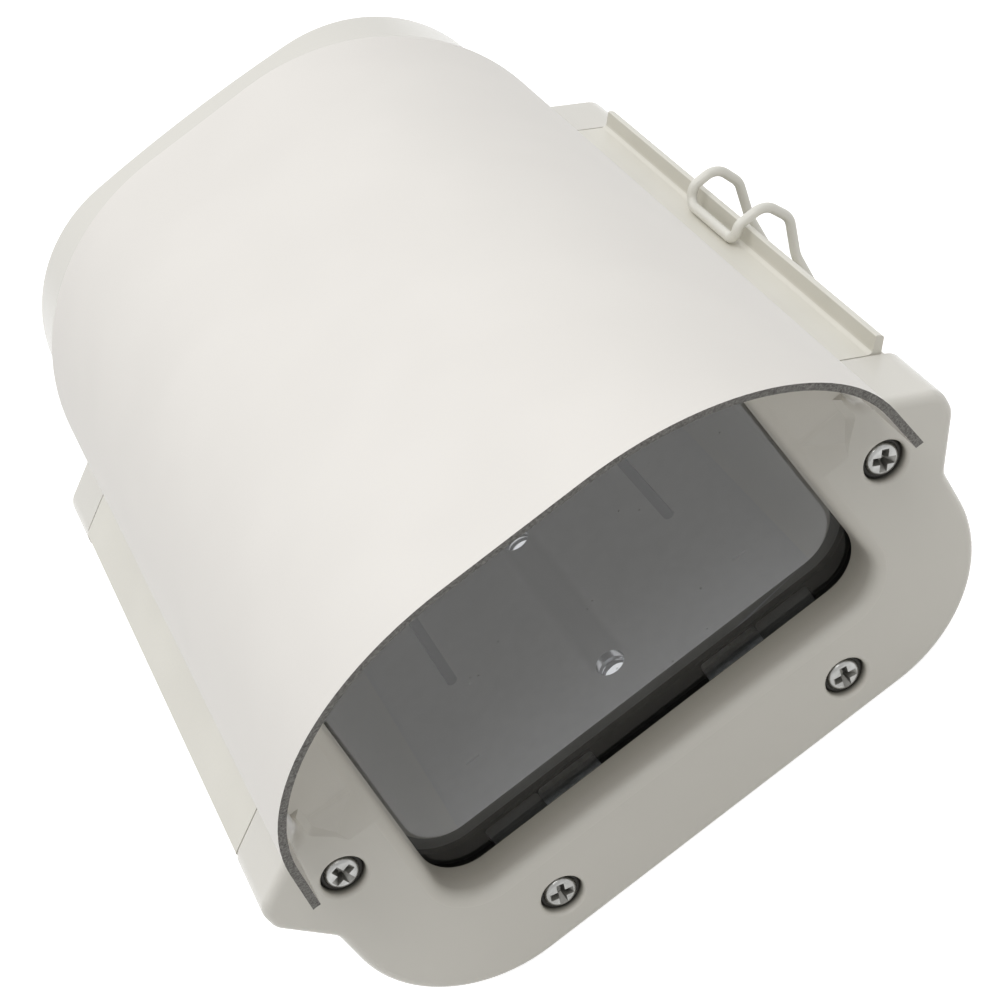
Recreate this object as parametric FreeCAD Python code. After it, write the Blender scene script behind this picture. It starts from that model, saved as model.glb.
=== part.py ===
"""Outdoor security camera housing: an extruded tray and a side-opening domed lid under a sun
shield, closed by two moulded end caps, with a window, a camera plate, a wire latch and two glands.

Bench frame while building: X across (latch on +X, hinge on -X), Y from the front cap's face to the
rear, Z up from the tray's flat underside. Every node is moved at the end so that the origin is midway between
the two tapped bracket holes, on the roof of the bracket channel. All sizes are in millimetres.
"""
import math
import os
import FreeCAD
import Part

V = FreeCAD.Vector
os.makedirs("parts", exist_ok=True)

# Lengths along the housing
CAP_DEPTH = 17.5            # each end cap
BODY_LENGTH = 122.5         # tray between the caps
TOTAL_LENGTH = 2 * CAP_DEPTH + BODY_LENGTH
TRAY_Y0, TRAY_Y1 = CAP_DEPTH, CAP_DEPTH + BODY_LENGTH
LID_END_GAP = 0.2           # lid to each cap
RIM_GAP = 0.2               # cap rim to the tray end, filled by the end gasket

# Bracket holes in the tray floor
HOLE_PITCH = 50.0
HOLE_Y1 = 29.0
HOLE_R = 3.175              # 1/4 inch thread
ORIGIN_Y = HOLE_Y1 + HOLE_PITCH / 2
ORIGIN_Z = 20.0             # channel roof above the tray's underside

# End outline: wide base with a nose on each side, and a domed top
TRAY_INSET = 0.5            # tray skin inside the outline of the caps
BASE_HALF = 71.3
BASE_R = 28.0
WAIST_IN, WAIST_Z = 0.2, 36.3        # where the side turns out into the nose
NOSE_OUT, NOSE_LOW, NOSE_HIGH = 7.0, 47.6, 53.0
NOSE_X = BASE_HALF + NOSE_OUT
NOSE_R = 4.5
DOME_STEP = 8.7             # side of the dome inside the base
DOME_TOP = 113.4
DOME = dict(xb=BASE_HALF - DOME_STEP, zb=63.5, lean=0.175, rs=36.0, rc=400.0, top=DOME_TOP)
SHOULDER_Z = 62.95
JOIN_Z = 72.0               # the nose's section laps the dome's side up to here
CAP_WALL = 2.4
CAP_FACE = 3.0
CAP_EDGE_R = 1.9
SET_BACK, SET_BACK_Z0, SET_BACK_Z1 = 1.2, 54.5, 64.0   # the dome's face lies behind the noses'
SET_BACK_BLEND = 22.0
SET_BACK_IN = 0.4           # side of the set back face inside the dome's side
SET_BACK_FLANK = 1.5        # how far its flank leans for each millimetre of depth

# Window
WIN_BOTTOM, WIN_TOP = 22.4, 97.0
WIN_SIDE, WIN_NARROWER = 10.9, 6.3   # inside the dome's side at the bottom, then at the top
WIN_HALF_LOW = DOME["xb"] - WIN_SIDE
WIN_HALF_HIGH = WIN_HALF_LOW - WIN_NARROWER
WIN_R_LOW, WIN_R_HIGH = 9.0, 22.0
WIN_SEAT_Y = 9.2            # back of the lip that the gasket lies on
WIN_EDGE_R = 2.6
GASKET_T, GLASS_T = 1.2, 3.0
GLASS_MARGIN = 3.7
POCKET_CLEAR = 0.2
FRAME_WALL = 2.1            # wall of the pocket behind the face, which takes the clip screws
CLIP_X_LOW, CLIP_X_HIGH = 20.0, 26.0
CLIP_T, CLIP_HOLE_R = 1.5, 0.8

# Screws: the bottom pair and the nose pair, pan heads sunk in round recesses
LOW_SCREW_X, LOW_SCREW_Z = 34.5, 9.6
NOSE_SCREW_IN, NOSE_SCREW_Z = 8.9, 48.1
CAP_SCREWS = [(-LOW_SCREW_X, LOW_SCREW_Z), (LOW_SCREW_X, LOW_SCREW_Z),
              (NOSE_SCREW_IN - BASE_HALF, NOSE_SCREW_Z), (BASE_HALF - NOSE_SCREW_IN, NOSE_SCREW_Z)]
RECESS_R, RECESS_DEPTH, RECESS_EDGE_R = 4.45, 3.0, 0.8
SCREW_R, SCREW_CLEAR_R, SCREW_HEAD_R, SCREW_HEAD_H = 1.75, 1.95, 3.2, 2.4
SCREW_LENGTH = 24.0

# Tray section
TRAY_WALL = 2.4
FLOOR_TOP = 24.1
WEB = 2.8
SEAL_INSET = 2.5            # the end gasket starts this far outside the bay
RAIL_LOW = 13.6             # lower edge of the gasket's windows over the solid rails
CHANNEL_HALF = 25.5
BLOCK_OUT = 40.2
LAND_HALF = 4.5
RIB_X, RIB_HALF = 19.3, 1.3
CHAMBER_TOP = 39.6
RIM_Z = 51.0                # top of the tray walls
BAY_WALL_IN = 13.3          # bay wall inside the base
BAY_HALF = BASE_HALF - BAY_WALL_IN
BAY_STEP, BAY_STEP_Z = 6.0, 36.0       # the bay is narrower between the side chambers
BAY_LOW_HALF, BAY_LOW_R = BAY_HALF - BAY_STEP, 10.0

# Lid section
LID_WALL = 2.5
FOOT_Z = 53.0               # bottom of the dome wall, on the seal
FLANGE_T = 2.9
VALLEY_IN = 4.3             # bottom of the gutter inside the nose
LIP_RUN, LIP_RISE = 2.5, 3.1           # inner face of the lip, from the gutter up
LIP_T = 1.3                 # lip's top, which slopes outwards

# Hinge: a bead along the lid's edge turns in a round socket along the tray
HINGE_IN, HINGE_Z = 2.8, 49.2
HINGE_X = HINGE_IN - NOSE_X
BEAD_R, SOCKET_CLEAR, SOCKET_WALL = 1.7, 0.05, 1.35
NECK_HALF = 0.75

# Sun shield
SHIELD_T = 1.6
SHIELD_TOP_GAP, SHIELD_SIDE_GAP = 5.6, 2.05
SHIELD_OFF = -0.2           # the sheet is fitted a little towards the hinge
SHIELD = dict(xb=DOME["xb"] + SHIELD_SIDE_GAP + SHIELD_T, zb=63.5, lean=0.187, rs=51.3, rc=None,
              top=DOME_TOP + SHIELD_TOP_GAP + SHIELD_T)
SHIELD_REAR_Y = 134.0
SHIELD_TIP_Y, SHIELD_PEAK_Y = -18.6, -42.1
STANDOFF_X, STANDOFF_YS, STANDOFF_R = 12.0, (40.0, 117.0), 4.0

# Wire latch, bent by hand: its front leg stands a little wider than its rear one
WIRE_R = 1.1
LATCH_Y0, LATCH_Y1 = 69.9, 90.4
LATCH_OUT, LATCH_Z = 3.7, 32.6         # pivot outside the nose
LATCH_X = NOSE_X + LATCH_OUT
BAR_IN = 5.7                # bar in the gutter, inside the nose
BAR_CLEAR = 0.3
FRONT_LEG = [(0.2, 46.0), (3.0, 54.6), (-0.1, 60.95), (-7.0, 60.8)]    # x from the pivot, z
REAR_LEG = [(0.0, 46.0), (1.9, 55.2), (-0.7, 61.6), (-6.8, 61.4)]
LEG_RADII = [2.2, 8.0, 4.2, 4.0, 2.4, 2.4]
PIVOT_GRIP = 6.0            # wire ends turned in through the ears
PIN_CLEAR = 0.06
BRACKET_T, EAR_INSET = 1.5, 2.7

# Camera plate
PLATE_X, PLATE_T = 28.4, 2.2
PLATE_Y0, PLATE_Y1 = 90.0, 134.0
PLATE_TOP = 34.0
GROOVE_Y0, GROOVE_Y1, GROOVE_DEPTH, GROOVE_CLEAR = 53.0, 137.0, 2.2, 0.2

# Cable glands in the rear cap
GLAND_X, GLAND_Z = 24.0, 42.0


def rounded(points, y=0.0):
    """Face in the XZ plane from (x, z, radius) corners, each corner rounded by its radius."""
    edges, last, first = [], None, None
    n = len(points)
    for i, (x, z, r) in enumerate(points):
        here = V(x, y, z)
        before = V(points[i - 1][0], y, points[i - 1][1])
        after = V(points[(i + 1) % n][0], y, points[(i + 1) % n][1])
        if r > 0:
            a = (before - here).normalize()
            b = (after - here).normalize()
            half = a.getAngle(b) / 2
            start, end = here + a * (r / math.tan(half)), here + b * (r / math.tan(half))
            centre = here + (a + b).normalize() * (r / math.sin(half))
            middle = centre + (here - centre).normalize() * r
        else:
            start = end = here
        if last is not None and last.distanceToPoint(start) > 1e-6:
            edges.append(Part.LineSegment(last, start).toShape())
        if r > 0:
            edges.append(Part.Arc(start, middle, end).toShape())
        first = first or start
        last = end
    edges.append(Part.LineSegment(last, first).toShape())
    return Part.Face(Part.Wire(edges))


def mirrored(right):
    """Corners of a whole outline from those of its right half."""
    return right + [(-x, z, r) for x, z, r in reversed(right)]


def arch(shape, low, inset=0.0):
    """Face of a domed top: leaning sides, round shoulders and a flat or crowned top."""
    a, rs = shape["lean"], shape["rs"] - inset
    n = (math.cos(a), math.sin(a))
    reach = shape["xb"] * n[0] + shape["zb"] * n[1] - inset
    top = shape["top"] - inset
    if shape["rc"]:
        rc = shape["rc"] - inset
        cz = top - rc
        bx, bz = (reach - rs) * n[0], (reach - rs) * n[1] - cz
        along = bz * n[0] - bx * n[1]
        step = -along + math.sqrt(along ** 2 - (bx ** 2 + bz ** 2 - (rc - rs) ** 2))
        sx, sz = bx - step * n[1], bz + cz + step * n[0]
        tip = math.atan2(sz - cz, sx)
    else:
        sz = top - rs
        sx = (reach - rs - sz * n[1]) / n[0]
        tip = math.pi / 2
    t1 = V(sx + rs * n[0], 0, sz + rs * n[1])
    t2 = V(sx + rs * math.cos(tip), 0, sz + rs * math.sin(tip))
    mid = V(sx + rs * math.cos((a + tip) / 2), 0, sz + rs * math.sin((a + tip) / 2))
    foot = V((reach - low * n[1]) / n[0], 0, low)

    def left(p):
        return V(-p.x, 0, p.z)
    crown = (Part.Arc(t2, V(0, 0, top), left(t2)) if shape["rc"]
             else Part.LineSegment(t2, left(t2)))
    edges = [Part.LineSegment(foot, t1), Part.Arc(t1, mid, t2), crown,
             Part.Arc(left(t2), left(mid), left(t1)), Part.LineSegment(left(t1), left(foot)),
             Part.LineSegment(left(foot), foot)]
    return Part.Face(Part.Wire([e.toShape() for e in edges]))


def dome_side(z):
    """Outer half width of the dome on its straight side."""
    return DOME["xb"] - (z - DOME["zb"]) * math.tan(DOME["lean"])


def prism(face, y0, y1):
    solid = face.copy()
    solid.translate(V(0, y0, 0))
    return solid.extrude(V(0, y1 - y0, 0))


def box(x0, x1, y0, y1, z0, z1):
    return Part.makeBox(x1 - x0, y1 - y0, z1 - z0, V(x0, y0, z0))


def rod(r, x, y, z, length, axis=(0, 1, 0)):
    return Part.makeCylinder(r, length, V(x, y, z), V(*axis))


def fused(shapes):
    out = shapes[0]
    if len(shapes) > 1:
        out = out.multiFuse(shapes[1:])
    return out.removeSplitter()


SHOULDER_X = dome_side(SHOULDER_Z)


def slope_z(x):
    """Height of the sloping nose top, between the nose's corner and the side of the dome."""
    return NOSE_HIGH + (NOSE_X - x) * (SHOULDER_Z - NOSE_HIGH) / (NOSE_X - SHOULDER_X)


def cap_outline():
    base = rounded(mirrored([
        (BASE_HALF, -TRAY_INSET, BASE_R), (BASE_HALF - WAIST_IN, WAIST_Z, 4),
        (NOSE_X, NOSE_LOW, NOSE_R), (NOSE_X, NOSE_HIGH, NOSE_R), (SHOULDER_X, SHOULDER_Z, 6),
        (dome_side(JOIN_Z), JOIN_Z, 0)]))
    return base.fuse(arch(DOME, 64)).removeSplitter().Faces[0]


def core_outline(inset):
    """Outline without the noses, inside the cap wall: the inner rib and the gasket follow it."""
    half = BASE_HALF - inset
    foot = dome_side(60) - inset / math.cos(DOME["lean"])
    base = rounded(mirrored([(half, inset - TRAY_INSET, BASE_R - inset), (half, 51, 4),
                             (foot + 1.5, 56, 2),
                             (dome_side(66) - inset / math.cos(DOME["lean"]), 66, 0)]))
    return base.fuse(arch(DOME, 64, inset)).removeSplitter().Faces[0]


def window(margin=0.0):
    lean = (WIN_HALF_LOW - WIN_HALF_HIGH) / (WIN_TOP - WIN_BOTTOM)
    side = margin * math.sqrt(1 + lean ** 2)
    low = WIN_HALF_LOW + side + lean * margin
    high = WIN_HALF_HIGH + side - lean * margin
    return rounded(mirrored([(low, WIN_BOTTOM - margin, WIN_R_LOW + margin),
                             (high, WIN_TOP + margin, WIN_R_HIGH + margin)]))


def face_edges(shape, y, keep):
    """Edges that lie in the plane at y and whose middle passes the test."""
    out = []
    for e in shape.Edges:
        b = e.BoundBox
        if abs(b.YMin - y) < 1e-4 and abs(b.YMax - y) < 1e-4:
            m = e.valueAt((e.FirstParameter + e.LastParameter) / 2)
            if keep(m):
                out.append(e)
    return out


def set_back_face():
    """Cutter for the dome's face, which dips behind the noses' and joins them by a soft slope."""
    out = NOSE_X
    profile = rounded([(-5, SET_BACK_Z0 - 30, 0), (-3, SET_BACK_Z0 - 30, 0),
                       (0, SET_BACK_Z0, SET_BACK_BLEND), (SET_BACK, SET_BACK_Z1, SET_BACK_BLEND),
                       (SET_BACK, DOME_TOP + 9, 0), (-5, DOME_TOP + 9, 0)])
    profile.rotate(V(0, 0, 0), V(0, 0, 1), 90)
    dip = profile.extrude(V(2 * out, 0, 0))
    dip.translate(V(-out, 0, 0))
    edge = dome_side(66) - SET_BACK_IN
    sides = []
    for s in (-1, 1):
        footprint = rounded([(s * x, z, r) for x, z, r in (
            (-9, 45, 0), (edge - 10, 45, 0), (edge - 3.4, 57.2, 1), (edge, 61.2, 1.5),
            (edge, 66, 0), (out, 66, 0), (out, DOME_TOP + 20, 0), (-9, DOME_TOP + 20, 0))])
        lean = V(-s * SET_BACK_FLANK, 1, SET_BACK_FLANK / 2) * (2 * SET_BACK)
        footprint.translate(-lean / 2)
        sides.append(footprint.extrude(lean))
    return dip.common(fused(sides))


def cap_shell():
    """Moulded cap: outer skin with a soft front edge, inner gasket rib and four screw bosses."""
    depth = CAP_DEPTH - RIM_GAP
    skin = prism(cap_outline(), 0, depth)
    skin = skin.makeFillet(CAP_EDGE_R, face_edges(skin, 0, lambda m: True))
    skin = skin.cut(set_back_face())
    hollow = cap_outline().makeOffset2D(-CAP_WALL)
    skin = skin.cut(prism(hollow, CAP_FACE, depth + 1))
    rib_end = CAP_DEPTH - 1.6
    rib = prism(core_outline(4.2), CAP_FACE - 0.5, rib_end).cut(
        prism(core_outline(6.2), 0, CAP_DEPTH))
    bosses = [rod(5.6, x, CAP_FACE - 0.5, z, rib_end - CAP_FACE + 0.5) for x, z in CAP_SCREWS]
    cap = fused([skin, rib] + [b.common(prism(cap_outline(), 0, depth)) for b in bosses])
    for x, z in CAP_SCREWS:
        recess = rod(RECESS_R, x, -1, z, RECESS_DEPTH + 1)
        cap = cap.cut(fused([recess, rod(SCREW_CLEAR_R, x, 0, z, CAP_DEPTH)]))
    return cap.makeFillet(RECESS_EDGE_R, face_edges(cap, 0, lambda m: to_screw(m) < RECESS_R + 1))


def to_screw(point):
    """Distance from a point of the face to the nearest cap screw."""
    return min(math.hypot(point.x - x, point.z - z) for x, z in CAP_SCREWS)


def front_cap():
    """Front cap: the deep window recess ends in a lip, with a pocket behind it for the glass."""
    cap = cap_shell()
    pocket = GLASS_MARGIN + POCKET_CLEAR
    frame = prism(window(pocket + FRAME_WALL), CAP_FACE - 0.5, WIN_SEAT_Y + GASKET_T + GLASS_T)
    cap = fused([cap, frame])
    cap = cap.cut(prism(window(), -1, WIN_SEAT_Y + 1))
    cap = cap.cut(prism(window(pocket), WIN_SEAT_Y, CAP_DEPTH + 1))
    mouth = window(0.1)
    rim = [e for e in cap.Edges if e.BoundBox.YMax < SET_BACK + 0.1
           and mouth.isInside(V(e.CenterOfMass.x, 0, e.CenterOfMass.z), 0.01, True)]
    cap = cap.makeFillet(WIN_EDGE_R, rim)
    for x, z, _ in CLIPS:
        cap = cap.cut(rod(CLIP_HOLE_R, x, WIN_SEAT_Y + 1.5, z, 6))
    return cap


def rear_cap():
    cap = cap_shell()
    for x in (-GLAND_X, GLAND_X):
        cap = cap.cut(rod(8.1, x, -1, GLAND_Z, CAP_FACE + 2))
    return to_rear(cap)


def to_rear(shape):
    """A front-end piece turned round to the rear end."""
    out = shape.mirror(V(0, TOTAL_LENGTH / 2, 0), V(0, 1, 0))
    return out


# Glass clips: (x, z of the screw, angle of the tab), on the frame round the glass pocket
CLIP_REACH = GLASS_MARGIN + POCKET_CLEAR + FRAME_WALL / 2
CLIPS = [(-CLIP_X_LOW, WIN_BOTTOM - CLIP_REACH, 0), (CLIP_X_LOW, WIN_BOTTOM - CLIP_REACH, 0),
         (-CLIP_X_HIGH, WIN_TOP + CLIP_REACH, 180), (CLIP_X_HIGH, WIN_TOP + CLIP_REACH, 180)]


def glass_clips():
    """Tabs screwed behind the pocket's frame, lapping over the edge of the glass."""
    y0 = WIN_SEAT_Y + GASKET_T + GLASS_T
    out = []
    for x, z, turn in CLIPS:
        tab = rounded([(x - 6.6, z - 1.9, 1), (x + 6.6, z - 1.9, 1),
                       (x + 6.6, z + CLIP_REACH - 0.6, 1), (x - 6.6, z + CLIP_REACH - 0.6, 1)])
        tab = prism(tab, y0, y0 + CLIP_T).cut(rod(CLIP_HOLE_R + 0.1, x, y0 - 1, z, 4))
        tab.rotate(V(x, 0, z), V(0, 1, 0), turn)
        out.append(tab)
    return out


def clip_screws():
    y0 = WIN_SEAT_Y + GASKET_T + GLASS_T + CLIP_T
    out = []
    for x, z, _ in CLIPS:
        out.append(fused([rod(1.6, x, y0, z, 0.9), rod(CLIP_HOLE_R - 0.02, x, y0 - 4, z, 4.1)]))
    return out


def pan_screw(x, z, head_y, length, r=SCREW_R, head_r=SCREW_HEAD_R, head_h=SCREW_HEAD_H):
    """Pan-head cross-recess screw pointing along +Y with its head's seat at head_y."""
    dome_r = (head_r ** 2 + head_h ** 2) / head_h
    head = rod(head_r, x, head_y - head_h, z, head_h).common(
        Part.makeSphere(dome_r, V(x, head_y - head_h + dome_r, z)))
    slot_l, slot_w = head_r * 1.25, head_r * 0.27
    cross = fused([box(x - slot_l / 2, x + slot_l / 2, -60, head_y - head_h + 1.3,
                       z - slot_w / 2, z + slot_w / 2),
                   box(x - slot_w / 2, x + slot_w / 2, -60, head_y - head_h + 1.3,
                       z - slot_l / 2, z + slot_l / 2)])
    point = Part.makeCone(r, r * 0.4, 1.5, V(x, head_y + length - 1.5, z), V(0, 1, 0))
    return fused([head.cut(cross), rod(r, x, head_y - 0.2, z, length - 1.3), point])


def front_screws():
    return [pan_screw(x, z, RECESS_DEPTH, SCREW_LENGTH) for x, z in CAP_SCREWS]


def bay_side(grow, top):
    """Right half of the bay's section, grown outwards by a margin."""
    step = BAY_HALF - BAY_LOW_HALF
    return [(BAY_LOW_HALF + grow, FLOOR_TOP - grow, BAY_LOW_R + grow),
            (BAY_LOW_HALF + grow, BAY_STEP_Z, 3), (BAY_HALF + grow, BAY_STEP_Z + step, 3),
            (BAY_HALF + grow, top, 0)]


def tray():
    """Extruded tray: floor web, side chambers, bracket channel, screw ports and hinge socket."""
    o = TRAY_INSET
    waist = BASE_HALF - WAIST_IN - o
    right = [(BASE_HALF - o, 0, BASE_R - o), (waist, WAIST_Z + 0.4, 4),
             (NOSE_X - o - 0.6, NOSE_LOW - 0.1, 3), (NOSE_X - o - 0.6, RIM_Z, 1)]
    left = [(HINGE_X + 2.8, RIM_Z, 0), (HINGE_X + 1.8, HINGE_Z - 2.2, 0),
            (HINGE_X - 0.4, HINGE_Z - 4.2, 0), (-waist, WAIST_Z + 0.4, 4),
            (-BASE_HALF + o, 0, BASE_R - o)]
    body = rounded(right + left)
    bay = rounded(mirrored(bay_side(0, 70)))
    side = BASE_HALF - o - TRAY_WALL
    chamber_r = min(BASE_R - o - TRAY_WALL, side - BLOCK_OUT - 2)
    chamber = [(BLOCK_OUT, TRAY_WALL, 1.5), (side, TRAY_WALL, chamber_r), (side, CHAMBER_TOP, 2),
               (BAY_LOW_HALF + WEB + CHAMBER_TOP - BAY_STEP_Z + 1, CHAMBER_TOP, 2),
               (BAY_LOW_HALF + WEB, BAY_STEP_Z - 1, 2),
               (BAY_LOW_HALF + WEB, FLOOR_TOP - WEB, BAY_LOW_R + WEB),
               (BLOCK_OUT, FLOOR_TOP - WEB, 1)]
    channel = rounded(mirrored([(CHANNEL_HALF, -1, 0), (CHANNEL_HALF, FLOOR_TOP - WEB, 0.8)]))
    solid = prism(body, TRAY_Y0, TRAY_Y1)
    for cut in (bay, channel, rounded(chamber), rounded([(-x, z, r) for x, z, r in chamber])):
        solid = solid.cut(prism(cut, TRAY_Y0 - 1, TRAY_Y1 + 1))
    roof = FLOOR_TOP - WEB + 0.2
    ribs = [box(x - h, x + h, TRAY_Y0, TRAY_Y1, ORIGIN_Z, roof)
            for x, h in ((0, LAND_HALF), (-RIB_X, RIB_HALF), (RIB_X, RIB_HALF))]
    outer = BEAD_R + SOCKET_CLEAR + SOCKET_WALL
    socket = rod(outer, HINGE_X, TRAY_Y0, HINGE_Z, BODY_LENGTH)
    root = prism(rounded([(HINGE_X + 4.2, RIM_Z - 0.4, 0), (HINGE_X + 2.2, RIM_Z - 0.4, 0),
                          (HINGE_X - 1.0, HINGE_Z - 2.6, 0), (-waist - 1.2, 40.0, 0)]),
                 TRAY_Y0, TRAY_Y1)
    solid = fused([solid, socket, root] + ribs)
    bore = rod(BEAD_R + SOCKET_CLEAR, HINGE_X, TRAY_Y0 - 1, HINGE_Z, BODY_LENGTH + 2)
    mouth = [(HINGE_X, HINGE_Z, 0)] + [
        (HINGE_X + 6 * math.cos(math.radians(a)), HINGE_Z + 6 * math.sin(math.radians(a)), 0)
        for a in (62, 100, 140, 180, 213)]
    solid = solid.cut(fused([bore, prism(rounded(mouth), TRAY_Y0 - 1, TRAY_Y1 + 1)]))
    return tray_holes(solid)


def tray_holes(solid):
    """Machining after extrusion: screw ports, bracket holes, plate grooves and small holes."""
    for x, z in CAP_SCREWS:
        for y0, y1 in ((TRAY_Y0 - 1, TRAY_Y0 + 14), (TRAY_Y1 - 14, TRAY_Y1 + 1)):
            solid = solid.cut(rod(SCREW_R + 0.02, x, y0, z, y1 - y0))
    for y in (HOLE_Y1, HOLE_Y1 + HOLE_PITCH):
        solid = solid.cut(rod(HOLE_R, 0, y, ORIGIN_Z - 2, 12, (0, 0, 1)))
    w = (PLATE_T + GROOVE_CLEAR) / 2
    for x in (-PLATE_X, PLATE_X):
        groove = fused([box(x - w, x + w, GROOVE_Y0 + w, GROOVE_Y1 - w,
                            FLOOR_TOP - GROOVE_DEPTH, FLOOR_TOP + 1),
                        rod(w, x, GROOVE_Y0 + w, FLOOR_TOP - GROOVE_DEPTH, GROOVE_DEPTH + 1,
                            (0, 0, 1)),
                        rod(w, x, GROOVE_Y1 - w, FLOOR_TOP - GROOVE_DEPTH, GROOVE_DEPTH + 1,
                            (0, 0, 1))])
        solid = solid.cut(groove)
    for x in (-FLOOR_SCREW_X, FLOOR_SCREW_X):
        solid = solid.cut(fused([
            rod(1.5, x, FLOOR_SCREW_Y, FLOOR_TOP - 8, 9, (0, 0, 1)),
            Part.makeCone(1.5, 2.6, 1.1, V(x, FLOOR_SCREW_Y, FLOOR_TOP - 1.1), V(0, 0, 1))]))
    for y in RIVET_YS:
        solid = solid.cut(rod(1.5, BASE_HALF - 5, y, LATCH_Z, 6, (1, 0, 0)))
    solid = solid.cut(rod(1.98, -BAY_HALF - 7, EARTH_Y, EARTH_Z, 8, (1, 0, 0)))
    return solid


FLOOR_SCREW_X, FLOOR_SCREW_Y = 33.6, 31.0
RIVET_PITCH = 5.5
RIVET_YS = [(LATCH_Y0 + LATCH_Y1 + s * RIVET_PITCH) / 2 for s in (-1, 1)]
EARTH_Y, EARTH_Z = 110.0, 47.0


def floor_screws():
    """Flush countersunk screws that close the two spare plate holes in the floor."""
    out = []
    for x in (-FLOOR_SCREW_X, FLOOR_SCREW_X):
        head = Part.makeCone(1.48, 2.58, 1.1, V(x, FLOOR_SCREW_Y, FLOOR_TOP - 1.1), V(0, 0, 1))
        slot = box(x - 1.6, x + 1.6, FLOOR_SCREW_Y - 0.3, FLOOR_SCREW_Y + 0.3,
                   FLOOR_TOP - 0.6, FLOOR_TOP + 1)
        shank = rod(1.48, x, FLOOR_SCREW_Y, FLOOR_TOP - 7, 6, (0, 0, 1))
        out.append(fused([head, shank]).cut(slot))
    return out


def lid():
    """Extruded lid: domed shell with a sloping flange on each side, a gutter lip on the latch
    side and the hinge bead on the other."""
    y0, y1 = TRAY_Y0 + LID_END_GAP, TRAY_Y1 - LID_END_GAP
    shell = arch(DOME, FOOT_Z).cut(arch(DOME, FOOT_Z - 1, LID_WALL))
    top = (dome_side(JOIN_Z), JOIN_Z, 0)
    inner = dome_side(68) - 1
    drop = FLANGE_T * math.hypot(1, (SHOULDER_Z - NOSE_HIGH) / (NOSE_X - SHOULDER_X))
    valley_x = NOSE_X - VALLEY_IN
    valley_z = slope_z(valley_x)
    lip_x, lip_z = valley_x + LIP_RUN, valley_z + LIP_RISE
    flange = rounded([top, (SHOULDER_X, SHOULDER_Z, 6), (valley_x, valley_z, 1.2),
                      (lip_x, lip_z, 0.4), (lip_x + LIP_T, lip_z - LIP_T, 0.6),
                      (valley_x + 1.4, valley_z - 1.4, 0.8), (valley_x - 1.3, valley_z - 1.7, 1.5),
                      (SHOULDER_X, SHOULDER_Z - drop, 1), (inner, 68, 0)])
    edge = HINGE_X - 2.0
    hinge = rounded([(-top[0], JOIN_Z, 0), (-SHOULDER_X, SHOULDER_Z, 6), (edge, slope_z(-edge), 0.6),
                     (edge, HINGE_Z + 3.2, 0.4), (HINGE_X - NECK_HALF, HINGE_Z + 3.2, 0.0),
                     (HINGE_X - NECK_HALF, HINGE_Z, 0), (HINGE_X + NECK_HALF, HINGE_Z, 0),
                     (HINGE_X + NECK_HALF, HINGE_Z + 3.4, 0.4), (-SHOULDER_X, SHOULDER_Z - drop, 1),
                     (-inner, 68, 0)])
    bead = rod(BEAD_R, HINGE_X, y0, HINGE_Z, y1 - y0)
    solid = fused([prism(shell, y0, y1), prism(flange, y0, y1), prism(hinge, y0, y1), bead])
    for x in (-STANDOFF_X, STANDOFF_X):
        for y in STANDOFF_YS:
            solid = solid.cut(rod(2.15, x, y, DOME["top"] - 8, 12, (0, 0, 1)))
    return solid


def sun_shield():
    """Rolled sheet with an open underside and a raked front edge."""
    low = SHIELD["zb"]
    y0 = SHIELD_PEAK_Y - 2
    band = prism(arch(SHIELD, low), y0, SHIELD_REAR_Y).cut(
        prism(arch(SHIELD, low - 5, SHIELD_T), y0 - 1, SHIELD_REAR_Y + 1))
    rake = (SHIELD_TIP_Y - SHIELD_PEAK_Y) / (SHIELD["top"] - low)
    cutter = Part.makePolygon([V(0, SHIELD_TIP_Y + 5 * rake, low - 5),
                               V(0, SHIELD_PEAK_Y - 5 * rake, SHIELD["top"] + 5),
                               V(0, y0 - 9, SHIELD["top"] + 5), V(0, y0 - 9, low - 5),
                               V(0, SHIELD_TIP_Y + 5 * rake, low - 5)])
    half = SHIELD["xb"] + 10
    wedge = Part.Face(cutter).extrude(V(2 * half, 0, 0))
    wedge.translate(V(-half, 0, 0))
    sheet = band.cut(wedge)
    sheet.translate(V(SHIELD_OFF, 0, 0))
    return sheet


def standoffs(lid_solid, shield_solid):
    """Clinched standoffs under the shield's top, cut to sit on the lid's crown."""
    out = []
    for x in (-STANDOFF_X, STANDOFF_X):
        for y in STANDOFF_YS:
            post = rod(STANDOFF_R, x, y, DOME["top"] - 1, SHIELD["top"] - DOME["top"],
                       (0, 0, 1)).cut(rod(1.65, x, y, DOME["top"] - 2, 7.5, (0, 0, 1)))
            post = post.cut(lid_solid).cut(shield_solid)
            out.append(max(post.Solids, key=lambda s: s.Volume))
    return out


def shield_screws(lid_solid):
    """Screws up through the lid into the standoffs, with a collar under each head."""
    out = []
    for x in (-STANDOFF_X, STANDOFF_X):
        for y in STANDOFF_YS:
            z = DOME["top"] - LID_WALL
            head = rod(3.6, x, y, z - 3.3, 3.6, (0, 0, 1)).cut(lid_solid)
            head = max(head.Solids, key=lambda s: s.BoundBox.ZLength)
            hexagon = box(x - 3.2, x + 3.2, y - 0.5, y + 0.5, z - 4, z - 2.2)
            shank = rod(1.62, x, y, z - 1, 8.2, (0, 0, 1))
            out.append(fused([head, shank]).cut(hexagon))
    return out


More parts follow.
